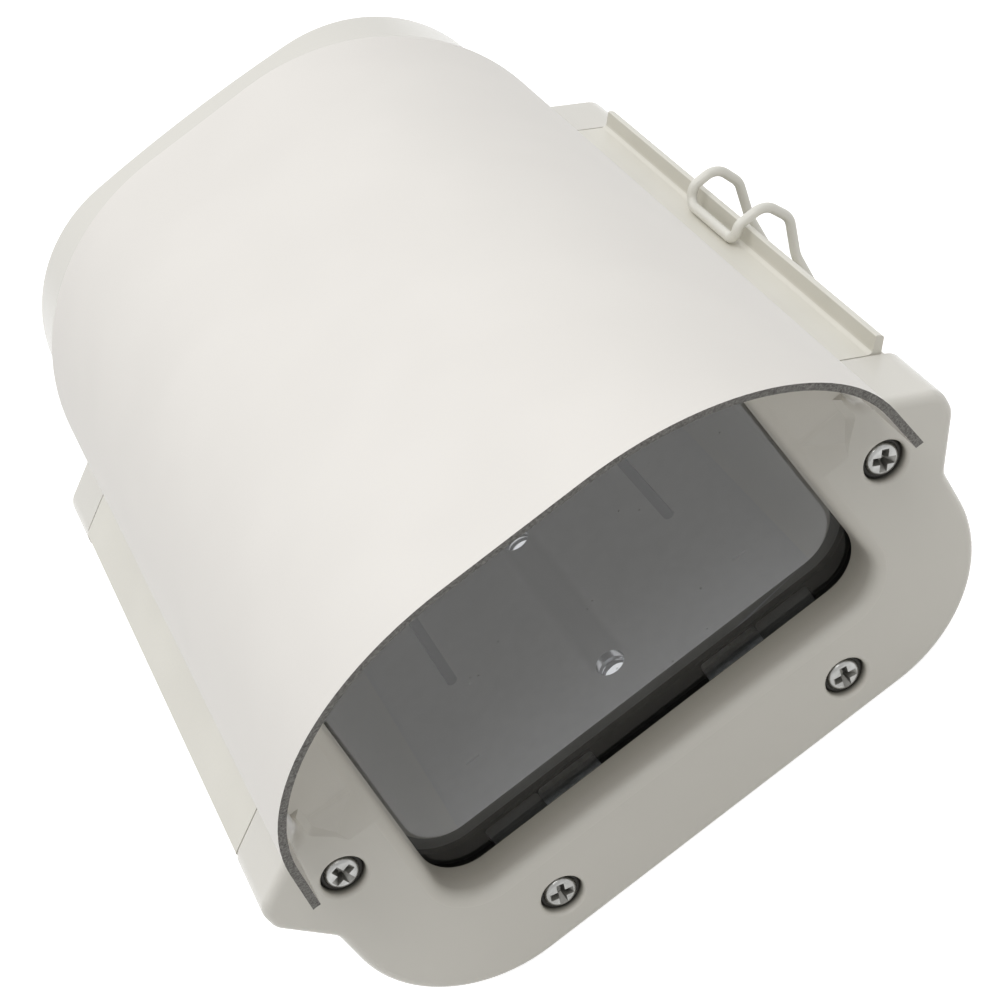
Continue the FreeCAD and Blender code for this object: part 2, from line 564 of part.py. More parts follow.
def end_gasket():
    """Rubber gasket between a cap and the tray end: open at the bay, closed over the channel."""
    y0, y1 = CAP_DEPTH - 1.6, CAP_DEPTH
    sheet = core_outline(2.6)
    ring = prism(sheet, y0, y1).cut(prism(core_outline(6.6).common(
        rounded(mirrored([(NOSE_X, 56, 0), (NOSE_X, DOME_TOP + 10, 0)]))), y0 - 1, y1 + 1))
    ring = ring.cut(prism(rounded(mirrored(bay_side(SEAL_INSET, 60))), y0 - 1, y1 + 1))
    for x in (-1, 1):
        rail = [(x * (CHANNEL_HALF + 1.3), RAIL_LOW, 1), (x * (BLOCK_OUT - 0.4), RAIL_LOW, 1),
                (x * (BLOCK_OUT - 0.4), FLOOR_TOP - SEAL_INSET - 0.8, 1),
                (x * (CHANNEL_HALF + 1.3), FLOOR_TOP - SEAL_INSET - 0.8, 1)]
        ring = ring.cut(prism(rounded(rail), y0 - 1, y1 + 1))
    for x, z in CAP_SCREWS:
        ring = ring.cut(rod(SCREW_CLEAR_R + 0.3, x, y0 - 1, z, 4))
    return ring


def lid_seals():
    """Rubber strip along each tray wall, under the foot of the dome."""
    x = dome_side(FOOT_Z) - LID_WALL / 2
    return [box(s * x - 1.9, s * x + 1.9, TRAY_Y0, TRAY_Y1, RIM_Z, FOOT_Z) for s in (-1, 1)]


def bent_wire(points, radii):
    """Path of straight runs joined by tangent arcs through 3-D corners."""
    edges, last = [], points[0]
    for before, here, after, r in zip(points, points[1:], points[2:], radii):
        a, b = (before - here).normalize(), (after - here).normalize()
        half = a.getAngle(b) / 2
        start, end = here + a * (r / math.tan(half)), here + b * (r / math.tan(half))
        centre = here + (a + b).normalize() * (r / math.sin(half))
        edges.append(Part.LineSegment(last, start).toShape())
        edges.append(Part.Arc(start, centre + (here - centre).normalize() * r, end).toShape())
        last = end
    edges.append(Part.LineSegment(last, points[-1]).toShape())
    return Part.Wire(edges)


def wire_latch():
    """One bent wire: pivot ends, two legs, two humps over the lip and the bar in the gutter."""
    slope = (SHOULDER_Z - NOSE_HIGH) / (NOSE_X - SHOULDER_X)
    bar_x = NOSE_X - BAR_IN
    bar = (bar_x, slope_z(bar_x) + (WIRE_R + BAR_CLEAR) * math.hypot(1, slope))
    ends = []
    for corners, y, turn_in in ((FRONT_LEG, LATCH_Y0, PIVOT_GRIP), (REAR_LEG, LATCH_Y1, -PIVOT_GRIP)):
        leg = [(LATCH_X, LATCH_Z)] + [(LATCH_X + x, z) for x, z in corners] + [bar]
        ends.append([V(LATCH_X, y + turn_in, LATCH_Z)] + [V(x, y, z) for x, z in leg])
    path = bent_wire(ends[0] + ends[1][::-1], LEG_RADII + LEG_RADII[::-1])
    ring = Part.Wire(Part.makeCircle(WIRE_R, ends[0][0], V(0, 1, 0)))
    return path.makePipeShell([ring], True, False)


def latch_bracket():
    """Folded steel bracket riveted to the tray wall, its two ears carrying the latch."""
    wall = BASE_HALF - TRAY_INSET
    ear_y = (LATCH_Y0 + EAR_INSET, LATCH_Y1 - EAR_INSET - BRACKET_T)
    plate = box(wall, wall + BRACKET_T, ear_y[0], ear_y[1] + BRACKET_T, LATCH_Z - 3.6,
                LATCH_Z + 3.4)
    shape = rounded([(wall, LATCH_Z - 3.2, 0), (LATCH_X + 1.2, LATCH_Z - 2.7, 2.4),
                     (LATCH_X + 3.0, LATCH_Z + 0.2, 2), (LATCH_X + 1.2, LATCH_Z + 2.7, 2.4),
                     (wall, LATCH_Z + 3.2, 0)])
    ears = [prism(shape, y, y + BRACKET_T) for y in ear_y]
    body = fused([plate] + ears)
    body = body.cut(rod(WIRE_R + PIN_CLEAR, LATCH_X, LATCH_Y0, LATCH_Z, LATCH_Y1 - LATCH_Y0))
    for y in RIVET_YS:
        body = body.cut(rod(1.5, wall - 1, y, LATCH_Z, 4, (1, 0, 0)))
    return body.cut(box(wall - 10, wall, LATCH_Y0, LATCH_Y1, LATCH_Z - 10, LATCH_Z + 10))


def rivets():
    wall = BASE_HALF - TRAY_INSET
    out = []
    for y in RIVET_YS:
        head = Part.makeSphere(3.4, V(wall + 1.5 - 2.1, y, LATCH_Z)).common(
            box(wall + 1.5, wall + 5, y - 5, y + 5, LATCH_Z - 5, LATCH_Z + 5))
        tail = rod(2.2, wall - TRAY_WALL - 0.9, y, LATCH_Z, 0.9, (1, 0, 0))
        shank = rod(1.5, wall - TRAY_WALL - 0.5, y, LATCH_Z, TRAY_WALL + 2.3, (1, 0, 0))
        out.append(fused([head, shank, tail]))
    return out


def camera_plate():
    """Folded plate on two legs that slide in the floor's grooves, slotted for the screw."""
    y0, y1 = PLATE_Y0, PLATE_Y1
    foot = FLOOR_TOP - GROOVE_DEPTH + 0.2
    h = PLATE_T / 2
    section = rounded([(-PLATE_X - h, foot, 0), (-PLATE_X + h, foot, 0),
                       (-PLATE_X + h, PLATE_TOP - PLATE_T, 0.8),
                       (PLATE_X - h, PLATE_TOP - PLATE_T, 0.8), (PLATE_X - h, foot, 0),
                       (PLATE_X + h, foot, 0), (PLATE_X + h, PLATE_TOP, 2.6),
                       (-PLATE_X - h, PLATE_TOP, 2.6)])
    plate = prism(section, y0, y1)
    slot = fused([box(-3.4, 3.4, y0 + 12, y1 - 12, foot, PLATE_TOP + 5),
                  rod(3.4, 0, y0 + 12, foot, 20, (0, 0, 1)),
                  rod(3.4, 0, y1 - 12, foot, 20, (0, 0, 1))])
    plate = plate.cut(slot)
    for x in (-15, 15):
        for y in (y0 + 9, y1 - 9):
            plate = plate.cut(rod(1.7, x, y, 25, 12, (0, 0, 1)))
    return plate


CAMERA_SCREW_Y = 112.0


def camera_screw():
    y, z = CAMERA_SCREW_Y, PLATE_TOP - PLATE_T - 0.5
    head = rod(6.5, 0, y, z - 4.0, 4.0, (0, 0, 1))
    for i in range(12):
        a = math.radians(30 * i)
        head = head.cut(rod(0.9, 6.9 * math.cos(a), y + 6.9 * math.sin(a), z - 5, 6, (0, 0, 1)))
    return fused([head, rod(HOLE_R, 0, y, z - 0.5, 9.5, (0, 0, 1))])


def camera_washer():
    z = PLATE_TOP - PLATE_T - 0.5
    return rod(6.0, 0, CAMERA_SCREW_Y, z, 0.5, (0, 0, 1)).cut(
        rod(HOLE_R + 0.03, 0, CAMERA_SCREW_Y, z - 1, 3, (0, 0, 1)))


def hexagon(flats, x, z, y, length):
    r = flats / math.sqrt(3)
    corners = [(x + r * math.cos(math.radians(a)), z + r * math.sin(math.radians(a)), 0)
               for a in range(0, 360, 60)]
    return prism(rounded(corners), y, y + length)


def gland_bodies():
    """Gland body: hexagon collar outside, threaded barrels on both sides, open bore."""
    out = []
    for x in (-GLAND_X, GLAND_X):
        body = fused([hexagon(20, x, GLAND_Z, TOTAL_LENGTH, 4.5),
                      rod(7.9, x, TOTAL_LENGTH - 10, GLAND_Z, 10.5),
                      rod(7.4, x, TOTAL_LENGTH + 4, GLAND_Z, 7.5)])
        out.append(body.cut(rod(5.2, x, TOTAL_LENGTH - 11, GLAND_Z, 30)))
    return out


def gland_locknuts():
    out = []
    for x in (-GLAND_X, GLAND_X):
        y = TOTAL_LENGTH - CAP_FACE - 4.5
        out.append(hexagon(21, x, GLAND_Z, y, 4.5).cut(rod(7.92, x, y - 1, GLAND_Z, 7)))
    return out


def gland_caps():
    """Domed nut over the outer barrel, with a hexagon at its root."""
    out = []
    for x in (-GLAND_X, GLAND_X):
        y = TOTAL_LENGTH + 4.5
        nut = fused([hexagon(18.5, x, GLAND_Z, y, 6),
                     rod(9.2, x, y + 5.5, GLAND_Z, 2.5),
                     Part.makeCone(9.2, 6.2, 4.5, V(x, y + 8, GLAND_Z), V(0, 1, 0))])
        nut = nut.cut(rod(7.42, x, y - 1, GLAND_Z, 8.2)).cut(
            Part.makeCone(7.42, 4.4, 3.5, V(x, y + 7.1, GLAND_Z), V(0, 1, 0)))
        out.append(nut.cut(rod(4.4, x, y, GLAND_Z, 20)))
    return out


def gland_seals():
    """Rubber sleeve that closes on the cable."""
    out = []
    for x in (-GLAND_X, GLAND_X):
        y = TOTAL_LENGTH + 1.0
        out.append(rod(5.15, x, y, GLAND_Z, 10.6).cut(rod(3.2, x, y - 1, GLAND_Z, 14)))
    return out


def earth_screw():
    x = -BAY_HALF
    head = rod(3.6, x, EARTH_Y, EARTH_Z, 2.4, (1, 0, 0)).cut(
        box(x + 1.5, x + 4, EARTH_Y - 3, EARTH_Y + 3, EARTH_Z - 0.4, EARTH_Z + 0.4))
    return fused([head, rod(1.96, x - 6, EARTH_Y, EARTH_Z, 6.5, (1, 0, 0))])


def export(name, shape):
    shapes = shape if isinstance(shape, list) else [shape]
    out = Part.makeCompound(shapes) if len(shapes) > 1 else shapes[0]
    out = out.copy()
    out.translate(V(0, -ORIGIN_Y, -ORIGIN_Z))
    bad = [s for s in shapes if not s.isValid()]
    b = out.BoundBox
    print("%-16s solids %d valid %s  X %.1f..%.1f Y %.1f..%.1f Z %.1f..%.1f vol %.0f" % (
        name, len(out.Solids), not bad, b.XMin, b.XMax, b.YMin, b.YMax, b.ZMin, b.ZMax,
        out.Volume))
    out.exportStep("parts/%s.step" % name)


lid_solid, shield_solid = lid(), sun_shield()
gasket = end_gasket()
screws = front_screws()
glass_y = WIN_SEAT_Y + GASKET_T
export("tray", tray())
export("lid", lid_solid)
export("sun_shield", shield_solid)
export("shield_standoffs", standoffs(lid_solid, shield_solid))
export("shield_screws", shield_screws(lid_solid))
export("front_cap", front_cap())
export("rear_cap", rear_cap())
export("window_gasket", prism(window(GLASS_MARGIN), WIN_SEAT_Y, glass_y).cut(
    prism(window(1.0), WIN_SEAT_Y - 1, glass_y + 1)))
export("window_glass", prism(window(GLASS_MARGIN), glass_y, glass_y + GLASS_T))
export("glass_clips", glass_clips())
export("clip_screws", clip_screws())
export("front_gasket", gasket)
export("rear_gasket", to_rear(gasket))
export("lid_seals", lid_seals())
export("front_screws", screws)
export("rear_screws", [to_rear(s) for s in screws])
export("floor_screws", floor_screws())
export("wire_latch", wire_latch())
export("latch_bracket", latch_bracket())
export("latch_rivets", rivets())
export("camera_plate", camera_plate())
export("camera_screw", camera_screw())
export("camera_washer", camera_washer())
export("gland_bodies", gland_bodies())
export("gland_locknuts", gland_locknuts())
export("gland_caps", gland_caps())
export("gland_seals", gland_seals())
export("earth_screw", earth_screw())
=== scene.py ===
import math

import bpy
from mathutils import Matrix, Vector


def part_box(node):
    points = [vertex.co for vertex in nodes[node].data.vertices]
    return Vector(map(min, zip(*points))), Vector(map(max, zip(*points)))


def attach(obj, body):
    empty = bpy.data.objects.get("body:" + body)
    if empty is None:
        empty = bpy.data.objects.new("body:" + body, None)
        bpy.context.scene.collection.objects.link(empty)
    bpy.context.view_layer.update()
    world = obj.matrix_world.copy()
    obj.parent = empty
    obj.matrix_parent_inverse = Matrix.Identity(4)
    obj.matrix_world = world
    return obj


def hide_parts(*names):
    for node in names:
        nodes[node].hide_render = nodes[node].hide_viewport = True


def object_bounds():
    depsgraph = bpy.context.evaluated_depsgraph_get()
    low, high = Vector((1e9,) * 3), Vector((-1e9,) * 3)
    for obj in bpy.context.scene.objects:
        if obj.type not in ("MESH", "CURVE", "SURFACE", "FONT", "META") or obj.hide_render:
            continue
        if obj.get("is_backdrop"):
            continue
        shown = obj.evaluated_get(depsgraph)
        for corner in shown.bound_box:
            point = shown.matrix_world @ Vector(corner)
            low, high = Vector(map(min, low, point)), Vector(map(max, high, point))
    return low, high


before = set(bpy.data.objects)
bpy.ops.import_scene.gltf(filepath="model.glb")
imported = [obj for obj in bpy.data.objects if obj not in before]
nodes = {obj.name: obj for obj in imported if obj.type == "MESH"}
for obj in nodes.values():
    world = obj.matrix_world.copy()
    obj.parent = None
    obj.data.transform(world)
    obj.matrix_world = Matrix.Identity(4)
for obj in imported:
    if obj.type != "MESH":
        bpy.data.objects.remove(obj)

cad_low, cad_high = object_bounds()


# Camera
# Looks down at the window from in front and above, with the housing turned in the picture. Its
# place, turn and lens were worked out from the straight edges of the tray, the lid and the caps.
CAMERA_PLACE = (-0.00005, -0.36398, 0.31105)
CAMERA_TURN = math.radians(0.375)
CAMERA_DOWN = math.radians(37.298)
CAMERA_ROLL = math.radians(37.2)
CAMERA_LENS, CAMERA_SENSOR = 82.12, 36   # in millimetres
CAMERA_NEAR, CAMERA_FAR = 0.01, 20

ahead = Vector((math.sin(CAMERA_TURN), math.cos(CAMERA_TURN), 0))
level_right = Vector((math.cos(CAMERA_TURN), -math.sin(CAMERA_TURN), 0))
level_up = math.sin(CAMERA_DOWN) * ahead + Vector((0, 0, math.cos(CAMERA_DOWN)))
forward = math.cos(CAMERA_DOWN) * ahead - Vector((0, 0, math.sin(CAMERA_DOWN)))
right = math.cos(CAMERA_ROLL) * level_right - math.sin(CAMERA_ROLL) * level_up
up = math.sin(CAMERA_ROLL) * level_right + math.cos(CAMERA_ROLL) * level_up
camera_data = bpy.data.cameras.new("camera")
camera_data.lens = CAMERA_LENS
camera_data.sensor_width = CAMERA_SENSOR
camera_data.clip_start, camera_data.clip_end = CAMERA_NEAR, CAMERA_FAR
camera = bpy.data.objects.new("camera", camera_data)
bpy.context.scene.collection.objects.link(camera)
turn = Matrix((right, up, -forward)).transposed().to_4x4()
camera.matrix_world = Matrix.Translation(CAMERA_PLACE) @ turn
bpy.context.scene.camera = camera
bpy.context.scene.view_settings.view_transform = "Standard"


# Floor and sky
# A white paper floor under the flat base and a soft white sky, weakest low in front, as in a
# light tent that is open towards the camera.
SKY_FRONT, SKY_BACK = 0.05, 0.9   # strengths
SKY_LOW, SKY_HIGH = -1.0, 0.9   # the sum of back and up at which the sky is weakest and strongest
FLOOR_SIZE = 6.0
SHEET_NEAR, SHEET_FAR = 0.15, 0.5
FLOOR_GAP = 0.0002
FLOOR_GLOW = 0.8


def linear(code):
    """An sRGB hex colour as the linear values that the shaders take."""
    parts = [int(code[i:i + 2], 16) / 255 for i in (1, 3, 5)]
    return [c / 12.92 if c <= 0.04045 else ((c + 0.055) / 1.055) ** 2.4 for c in parts] + [1.0]


def node(tree, kind, settings=None, links=None):
    """Adds a shader node, sets its values and joins its inputs to other nodes' outputs."""
    made = tree.nodes.new(kind)
    for name, value in (settings or {}).items():
        if isinstance(name, str) and hasattr(made, name):
            setattr(made, name, value)
        else:
            made.inputs[name].default_value = value
    for name, (source, output) in (links or {}).items():
        tree.links.new(source.outputs[output], made.inputs[name])
    return made


def empty_tree(owner):
    """The owner's node tree, switched on and cleared."""
    owner.use_nodes = True
    owner.node_tree.nodes.clear()
    return owner.node_tree


def seen_directly(tree):
    """One for camera, mirror and glass rays, nought for the light that reaches surfaces."""
    path = node(tree, "ShaderNodeLightPath")
    first = node(tree, "ShaderNodeMath", {"operation": "MAXIMUM"},
                 {0: (path, "Is Camera Ray"), 1: (path, "Is Glossy Ray")})
    return node(tree, "ShaderNodeMath", {"operation": "MAXIMUM"},
                {0: (first, 0), 1: (path, "Is Transmission Ray")})


world = bpy.data.worlds.new("light_tent")
bpy.context.scene.world = world
sky = empty_tree(world)
direction = node(sky, "ShaderNodeTexCoord")
along = node(sky, "ShaderNodeSeparateXYZ", None, {0: (direction, "Generated")})
back_and_up = node(sky, "ShaderNodeMath", {"operation": "ADD"},
                   {0: (along, "Y"), 1: (along, "Z")})
level = node(sky, "ShaderNodeMapRange",
             {"From Min": SKY_LOW, "From Max": SKY_HIGH, "To Min": SKY_FRONT, "To Max": SKY_BACK},
             {"Value": (back_and_up, 0)})
fill = node(sky, "ShaderNodeBackground", {"Color": linear("#FAFBFC")}, {"Strength": (level, 0)})
shown = node(sky, "ShaderNodeBackground", {"Color": (1, 1, 1, 1), "Strength": 1.0})
mixed = node(sky, "ShaderNodeMixShader", None,
             {0: (seen_directly(sky), 0), 1: (fill, 0), 2: (shown, 0)})
node(sky, "ShaderNodeOutputWorld", None, {"Surface": (mixed, 0)})

bpy.ops.object.select_all(action="DESELECT")
bpy.ops.mesh.primitive_plane_add(size=FLOOR_SIZE, location=(0, 0, cad_low.z - FLOOR_GAP))
floor = bpy.context.object
floor.name = "floor"

# The floor that the camera and the glass see is white paper with a glow of its own, which still
# takes the housing's shadow. The light that it throws back is a near sheet's on a greyer table.
paper = bpy.data.materials.new("white_paper")
tree = empty_tree(paper)
place = node(tree, "ShaderNodeTexCoord")
away = node(tree, "ShaderNodeVectorMath", {"operation": "LENGTH"}, {0: (place, "Object")})
reach = node(tree, "ShaderNodeMapRange", {"From Min": SHEET_NEAR, "From Max": SHEET_FAR},
             {"Value": (away, "Value")})
table = node(tree, "ShaderNodeMixRGB",
             {"Color1": linear("#DFDDD8"), "Color2": linear("#8C8B88")}, {"Fac": (reach, 0)})
bounce = node(tree, "ShaderNodeBsdfDiffuse", None, {"Color": (table, "Color")})
sheet = node(tree, "ShaderNodeBsdfDiffuse", {"Color": linear("#D2D2D2")})
glow = node(tree, "ShaderNodeEmission", {"Color": (1, 1, 1, 1), "Strength": FLOOR_GLOW})
lit = node(tree, "ShaderNodeAddShader", None, {0: (sheet, 0), 1: (glow, 0)})
cover = node(tree, "ShaderNodeMixShader", None,
             {0: (seen_directly(tree), 0), 1: (bounce, 0), 2: (lit, 0)})
node(tree, "ShaderNodeOutputMaterial", None, {"Surface": (cover, 0)})
floor.data.materials.append(paper)
floor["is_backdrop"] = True


# Lamps
# Two soft lamps, one overhead and a little behind, the other above in front. The paper floor throws
# their light back up at the housing's front.
OVERHEAD_PLACE, OVERHEAD_SIZE, OVERHEAD_WATTS = (-0.06, 0.3, 1.2), 0.6, 2.1
FRONT_PLACE, FRONT_SIZE, FRONT_WATTS = (0.03, -0.8, 1.25), 0.5, 4.6


def lamp(name, place, size, watts):
    """A square soft lamp that faces the origin."""
    data = bpy.data.lights.new(name, "AREA")
    data.size, data.energy = size, watts
    made = bpy.data.objects.new(name, data)
    bpy.context.scene.collection.objects.link(made)
    made.location = place
    made.rotation_euler = (-Vector(place)).to_track_quat("-Z", "Y").to_euler()


lamp("overhead", OVERHEAD_PLACE, OVERHEAD_SIZE, OVERHEAD_WATTS)
lamp("front_above", FRONT_PLACE, FRONT_SIZE, FRONT_WATTS)


# Sun shield
# One rolled aluminium sheet in cream polyester powder coat: satin, with a fine orange peel that
# shows only where the light grazes. Its raked front edge is sawn and left bare, dull and rough.
PEEL_MM, PEEL_DEPTH = 0.9, 0.00002   # a length is in metres unless its name says MM
MOTTLE_MM = 22.0
SHEEN_SPREAD = 0.02                  # roughness, either way
DIE_LINE_MM, DIE_LINE_LENGTH_MM, DIE_LINE_DEPTH = 0.7, 90, 0.00003
SAW_MM, SAW_DEPTH = 0.45, 0.0002     # coarser than the real saw marks, so that they show
SAWN_EDGE_TURN = 0.9                 # cosine between a sawn face and the rake
TIP_BELOW_CROWN = 0.05
SAWN_EDGE = 1                        # the shield's finish after its coat


def mm(size):
    """Scale of a noise texture whose grain is this many millimetres, on object coordinates."""
    return 1000 / size


def powder_coat(name, light, dark, roughness, peel_mm=PEEL_MM, streaks=0.0):
    """Satin paint: slightly mottled colour, orange peel, and faint die lines where it has them."""
    made = bpy.data.materials.new(name)
    tree = empty_tree(made)
    place = node(tree, "ShaderNodeTexCoord")
    cloud = node(tree, "ShaderNodeTexNoise", {"Scale": mm(MOTTLE_MM), "Detail": 1.0},
                 {"Vector": (place, "Object")})
    tint = node(tree, "ShaderNodeValToRGB", None, {"Fac": (cloud, "Fac")})
    tint.color_ramp.elements[0].position, tint.color_ramp.elements[0].color = 0.35, linear(dark)
    tint.color_ramp.elements[1].position, tint.color_ramp.elements[1].color = 0.65, linear(light)
    peel = node(tree, "ShaderNodeTexNoise", {"Scale": mm(peel_mm), "Detail": 2.0},
                {"Vector": (place, "Object")})
    relief = node(tree, "ShaderNodeBump", {"Strength": 1.0, "Distance": PEEL_DEPTH},
                  {"Height": (peel, "Fac")})
    if streaks:
        across = mm(DIE_LINE_MM)
        drawn = node(tree, "ShaderNodeMapping",
                     {"Scale": (across, mm(DIE_LINE_LENGTH_MM), across)},
                     {"Vector": (place, "Object")})
        lines = node(tree, "ShaderNodeTexNoise", {"Scale": 1.0, "Detail": 3.0},
                     {"Vector": (drawn, "Vector")})
        relief = node(tree, "ShaderNodeBump", {"Strength": streaks, "Distance": DIE_LINE_DEPTH},
                      {"Height": (lines, "Fac"), "Normal": (relief, "Normal")})
    sheen = node(tree, "ShaderNodeMapRange",
                 {"To Min": roughness - SHEEN_SPREAD, "To Max": roughness + SHEEN_SPREAD},
                 {"Value": (cloud, "Fac")})
    paint = node(tree, "ShaderNodeBsdfPrincipled", {"IOR": 1.5},
                 {"Base Color": (tint, "Color"), "Roughness": (sheen, 0),
                  "Normal": (relief, "Normal")})
    node(tree, "ShaderNodeOutputMaterial", None, {"Surface": (paint, "BSDF")})
    return made


def dress(name, *finishes):
    """Gives a CAD node its finishes, the first of them all over."""
    mesh = nodes[name].data
    mesh.materials.clear()
    for finish in finishes:
        mesh.materials.append(finish)


sawn = bpy.data.materials.new("sawn_aluminium_edge")
tree = empty_tree(sawn)
place = node(tree, "ShaderNodeTexCoord")
saw = node(tree, "ShaderNodeTexNoise", {"Scale": mm(SAW_MM), "Detail": 5.0, "Roughness": 0.7},
           {"Vector": (place, "Object")})
grime = node(tree, "ShaderNodeValToRGB", None, {"Fac": (saw, "Fac")})
grime.color_ramp.elements[0].position, grime.color_ramp.elements[0].color = 0.36, linear("#45433F")
grime.color_ramp.elements[1].position, grime.color_ramp.elements[1].color = 0.66, linear("#8F8D89")
teeth = node(tree, "ShaderNodeBump", {"Strength": 1.0, "Distance": SAW_DEPTH},
             {"Height": (saw, "Fac")})
bare = node(tree, "ShaderNodeBsdfPrincipled", {"Roughness": 0.75, "Metallic": 0.35},
            {"Base Color": (grime, "Color"), "Normal": (teeth, "Normal")})
node(tree, "ShaderNodeOutputMaterial", None, {"Surface": (bare, "BSDF")})

shield_coat = powder_coat("powder_coat_cream", "#E7E3DD", "#E5E1DB", 0.5)
dress("sun_shield", shield_coat, sawn)
shield = nodes["sun_shield"].data
front_most = min(shield.vertices, key=lambda v: v.co.y).co
below = cad_high.z - TIP_BELOW_CROWN
tip_side = min((v.co for v in shield.vertices if v.co.z < below), key=lambda c: c.y)
rake = Vector((0, front_most.z - tip_side.z, -(front_most.y - tip_side.y))).normalized()
rake = rake if rake.y < 0 else -rake
for face in shield.polygons:
    if face.normal.dot(rake) > SAWN_EDGE_TURN:
        face.material_index = SAWN_EDGE


# Tray and lid
# Aluminium extrusions in a powder coat a shade darker than the shield's, with faint lines from the
# die along their length. The lid is hinged in the tray's left wall and held shut by the wire latch
# on the right.
DIE_LINES = 0.35   # strength of their relief
extruded_coat = powder_coat("powder_coat_on_extrusion", "#E2DFD5", "#DEDBD1", 0.42,
                            streaks=DIE_LINES)

# The inner side of the lip on the right has a darker coat: painted shade, where less light reaches
# it.
LIP_FROM_RIGHT = 0.012
LIP_TURN = -0.5   # a face of the lip looks inwards where its normal's X is under this
LIP_SHADE = 1         # the lid's finish after its coat
lip_shade_coat = powder_coat("powder_coat_with_painted_shade_on_the_lip", "#CFCCC1", "#CAC7BB", 0.48,
                         streaks=DIE_LINES)
dress("lid", extruded_coat, lip_shade_coat)
lid_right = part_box("lid")[1].x
# The painted shade goes on the lip's inner faces.
for face in nodes["lid"].data.polygons:
    on_lip = face.center.x > lid_right - LIP_FROM_RIGHT
    if on_lip and face.normal.x < LIP_TURN and face.normal.z > 0:
        face.material_index = LIP_SHADE

# The bay's floor is left as etched metal, a plain light grey, with painted shade: a darker track
# from the front bracket hole backwards, and darker sides. The two slots that carry the camera plate
# are painted darker, as painted shade in the slots.
FLOOR_TOP = 0.0041
BAY_HALF = 0.052
SLOT_X, SLOT_HALF, SLOT_LOW = 0.0284, 0.00125, 0.001
TRACK_HALF, TRACK_START = 0.0036, -0.0245
SIDE_TRACK_X, SIDE_TRACK_TONE = 0.0405, 0.3
SOFT_EDGE = 0.0008
ETCH_MM, ETCH_DEPTH = 2.5, 0.00002
HAIR, NEAR = 0.00005, 0.0001          # within which two heights or edges count as one
FACING_UP, FACING_END = 0.9, 0.99     # cosines above which a face points that way
ETCHED_AND_SHADED, SHADED_SLOT, SAWN_END_SHADED = 1, 2, 3   # the tray's finishes after its coat

etched_and_shaded = bpy.data.materials.new("etched_floor_with_painted_shade")
tree = empty_tree(etched_and_shaded)
place = node(tree, "ShaderNodeTexCoord")
apart = node(tree, "ShaderNodeSeparateXYZ", None, {0: (place, "Object")})
across = node(tree, "ShaderNodeMath", {"operation": "ABSOLUTE"}, {0: (apart, "X")})
# Painted shade: a darker track from the front bracket hole backwards, and darker sides.
middle = node(tree, "ShaderNodeMapRange",
              {"From Min": TRACK_HALF + SOFT_EDGE, "From Max": TRACK_HALF - SOFT_EDGE},
              {"Value": (across, 0)})
behind = node(tree, "ShaderNodeMapRange",
              {"From Min": TRACK_START - SOFT_EDGE, "From Max": TRACK_START + SOFT_EDGE},
              {"Value": (apart, "Y")})
track = node(tree, "ShaderNodeMath", {"operation": "MULTIPLY"}, {0: (middle, 0), 1: (behind, 0)})
sides = node(tree, "ShaderNodeMapRange",
             {"From Min": SIDE_TRACK_X, "From Max": SIDE_TRACK_X + 3 * SOFT_EDGE,
              "To Max": SIDE_TRACK_TONE},
             {"Value": (across, 0)})
floor_shade = node(tree, "ShaderNodeMath", {"operation": "ADD"}, {0: (track, 0), 1: (sides, 0)})
etch = node(tree, "ShaderNodeTexNoise", {"Scale": mm(ETCH_MM), "Detail": 6.0},
            {"Vector": (place, "Object")})
grey = node(tree, "ShaderNodeValToRGB", None, {"Fac": (etch, "Fac")})
grey.color_ramp.elements[0].position, grey.color_ramp.elements[0].color = 0.3, linear("#DBDAD7")
grey.color_ramp.elements[1].position, grey.color_ramp.elements[1].color = 0.7, linear("#E1E0DD")
toned = node(tree, "ShaderNodeMixRGB", {"Color2": linear("#C8C7C4")},
             {"Fac": (floor_shade, 0), "Color1": (grey, "Color")})
pits = node(tree, "ShaderNodeBump", {"Strength": 0.5, "Distance": ETCH_DEPTH},
            {"Height": (etch, "Fac")})
matt = node(tree, "ShaderNodeBsdfPrincipled", {"Roughness": 0.6, "IOR": 1.5},
            {"Base Color": (toned, "Color"), "Normal": (pits, "Normal")})
node(tree, "ShaderNodeOutputMaterial", None, {"Surface": (matt, "BSDF")})
# Painted shade in the two slots that carry the camera plate.
slot_shade = powder_coat("slot_with_painted_shade", "#B4B4B5", "#A9A9AB", 0.5, peel_mm=1.5)

# The extrusion is sawn to length and its ends are left bare and dull. Their dark grey is partly
# painted shade, for the shade that falls on them inside the housing.
sawn_end_shade = powder_coat("sawn_extrusion_end_painted_dark", "#94938C", "#85847D", 0.6, peel_mm=1.2)

dress("tray", extruded_coat, etched_and_shaded, slot_shade, sawn_end_shade)
dress("floor_screws", etched_and_shaded)
tray_low, tray_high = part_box("tray")
for face in nodes["tray"].data.polygons:
    c = face.center
    if abs(abs(c.x) - SLOT_X) < SLOT_HALF and SLOT_LOW < c.z < FLOOR_TOP - HAIR:
        face.material_index = SHADED_SLOT
    elif abs(c.x) < BAY_HALF and abs(c.z - FLOOR_TOP) < NEAR and face.normal.z > FACING_UP:
        face.material_index = ETCHED_AND_SHADED
    elif abs(face.normal.y) > FACING_END and min(c.y - tray_low.y, tray_high.y - c.y) < NEAR:
        face.material_index = SAWN_END_SHADED


# End caps
# Moulded in one piece each and painted semi-gloss: the skin is a little wavy, so the highlights
# along the window, the noses and the screw recesses are soft and uneven.
CAP_WAVE_MM = 4.0
cap_coat = powder_coat("semi_gloss_cap_paint", "#DDDAD2", "#DCD9D1", 0.26, peel_mm=CAP_WAVE_MM)
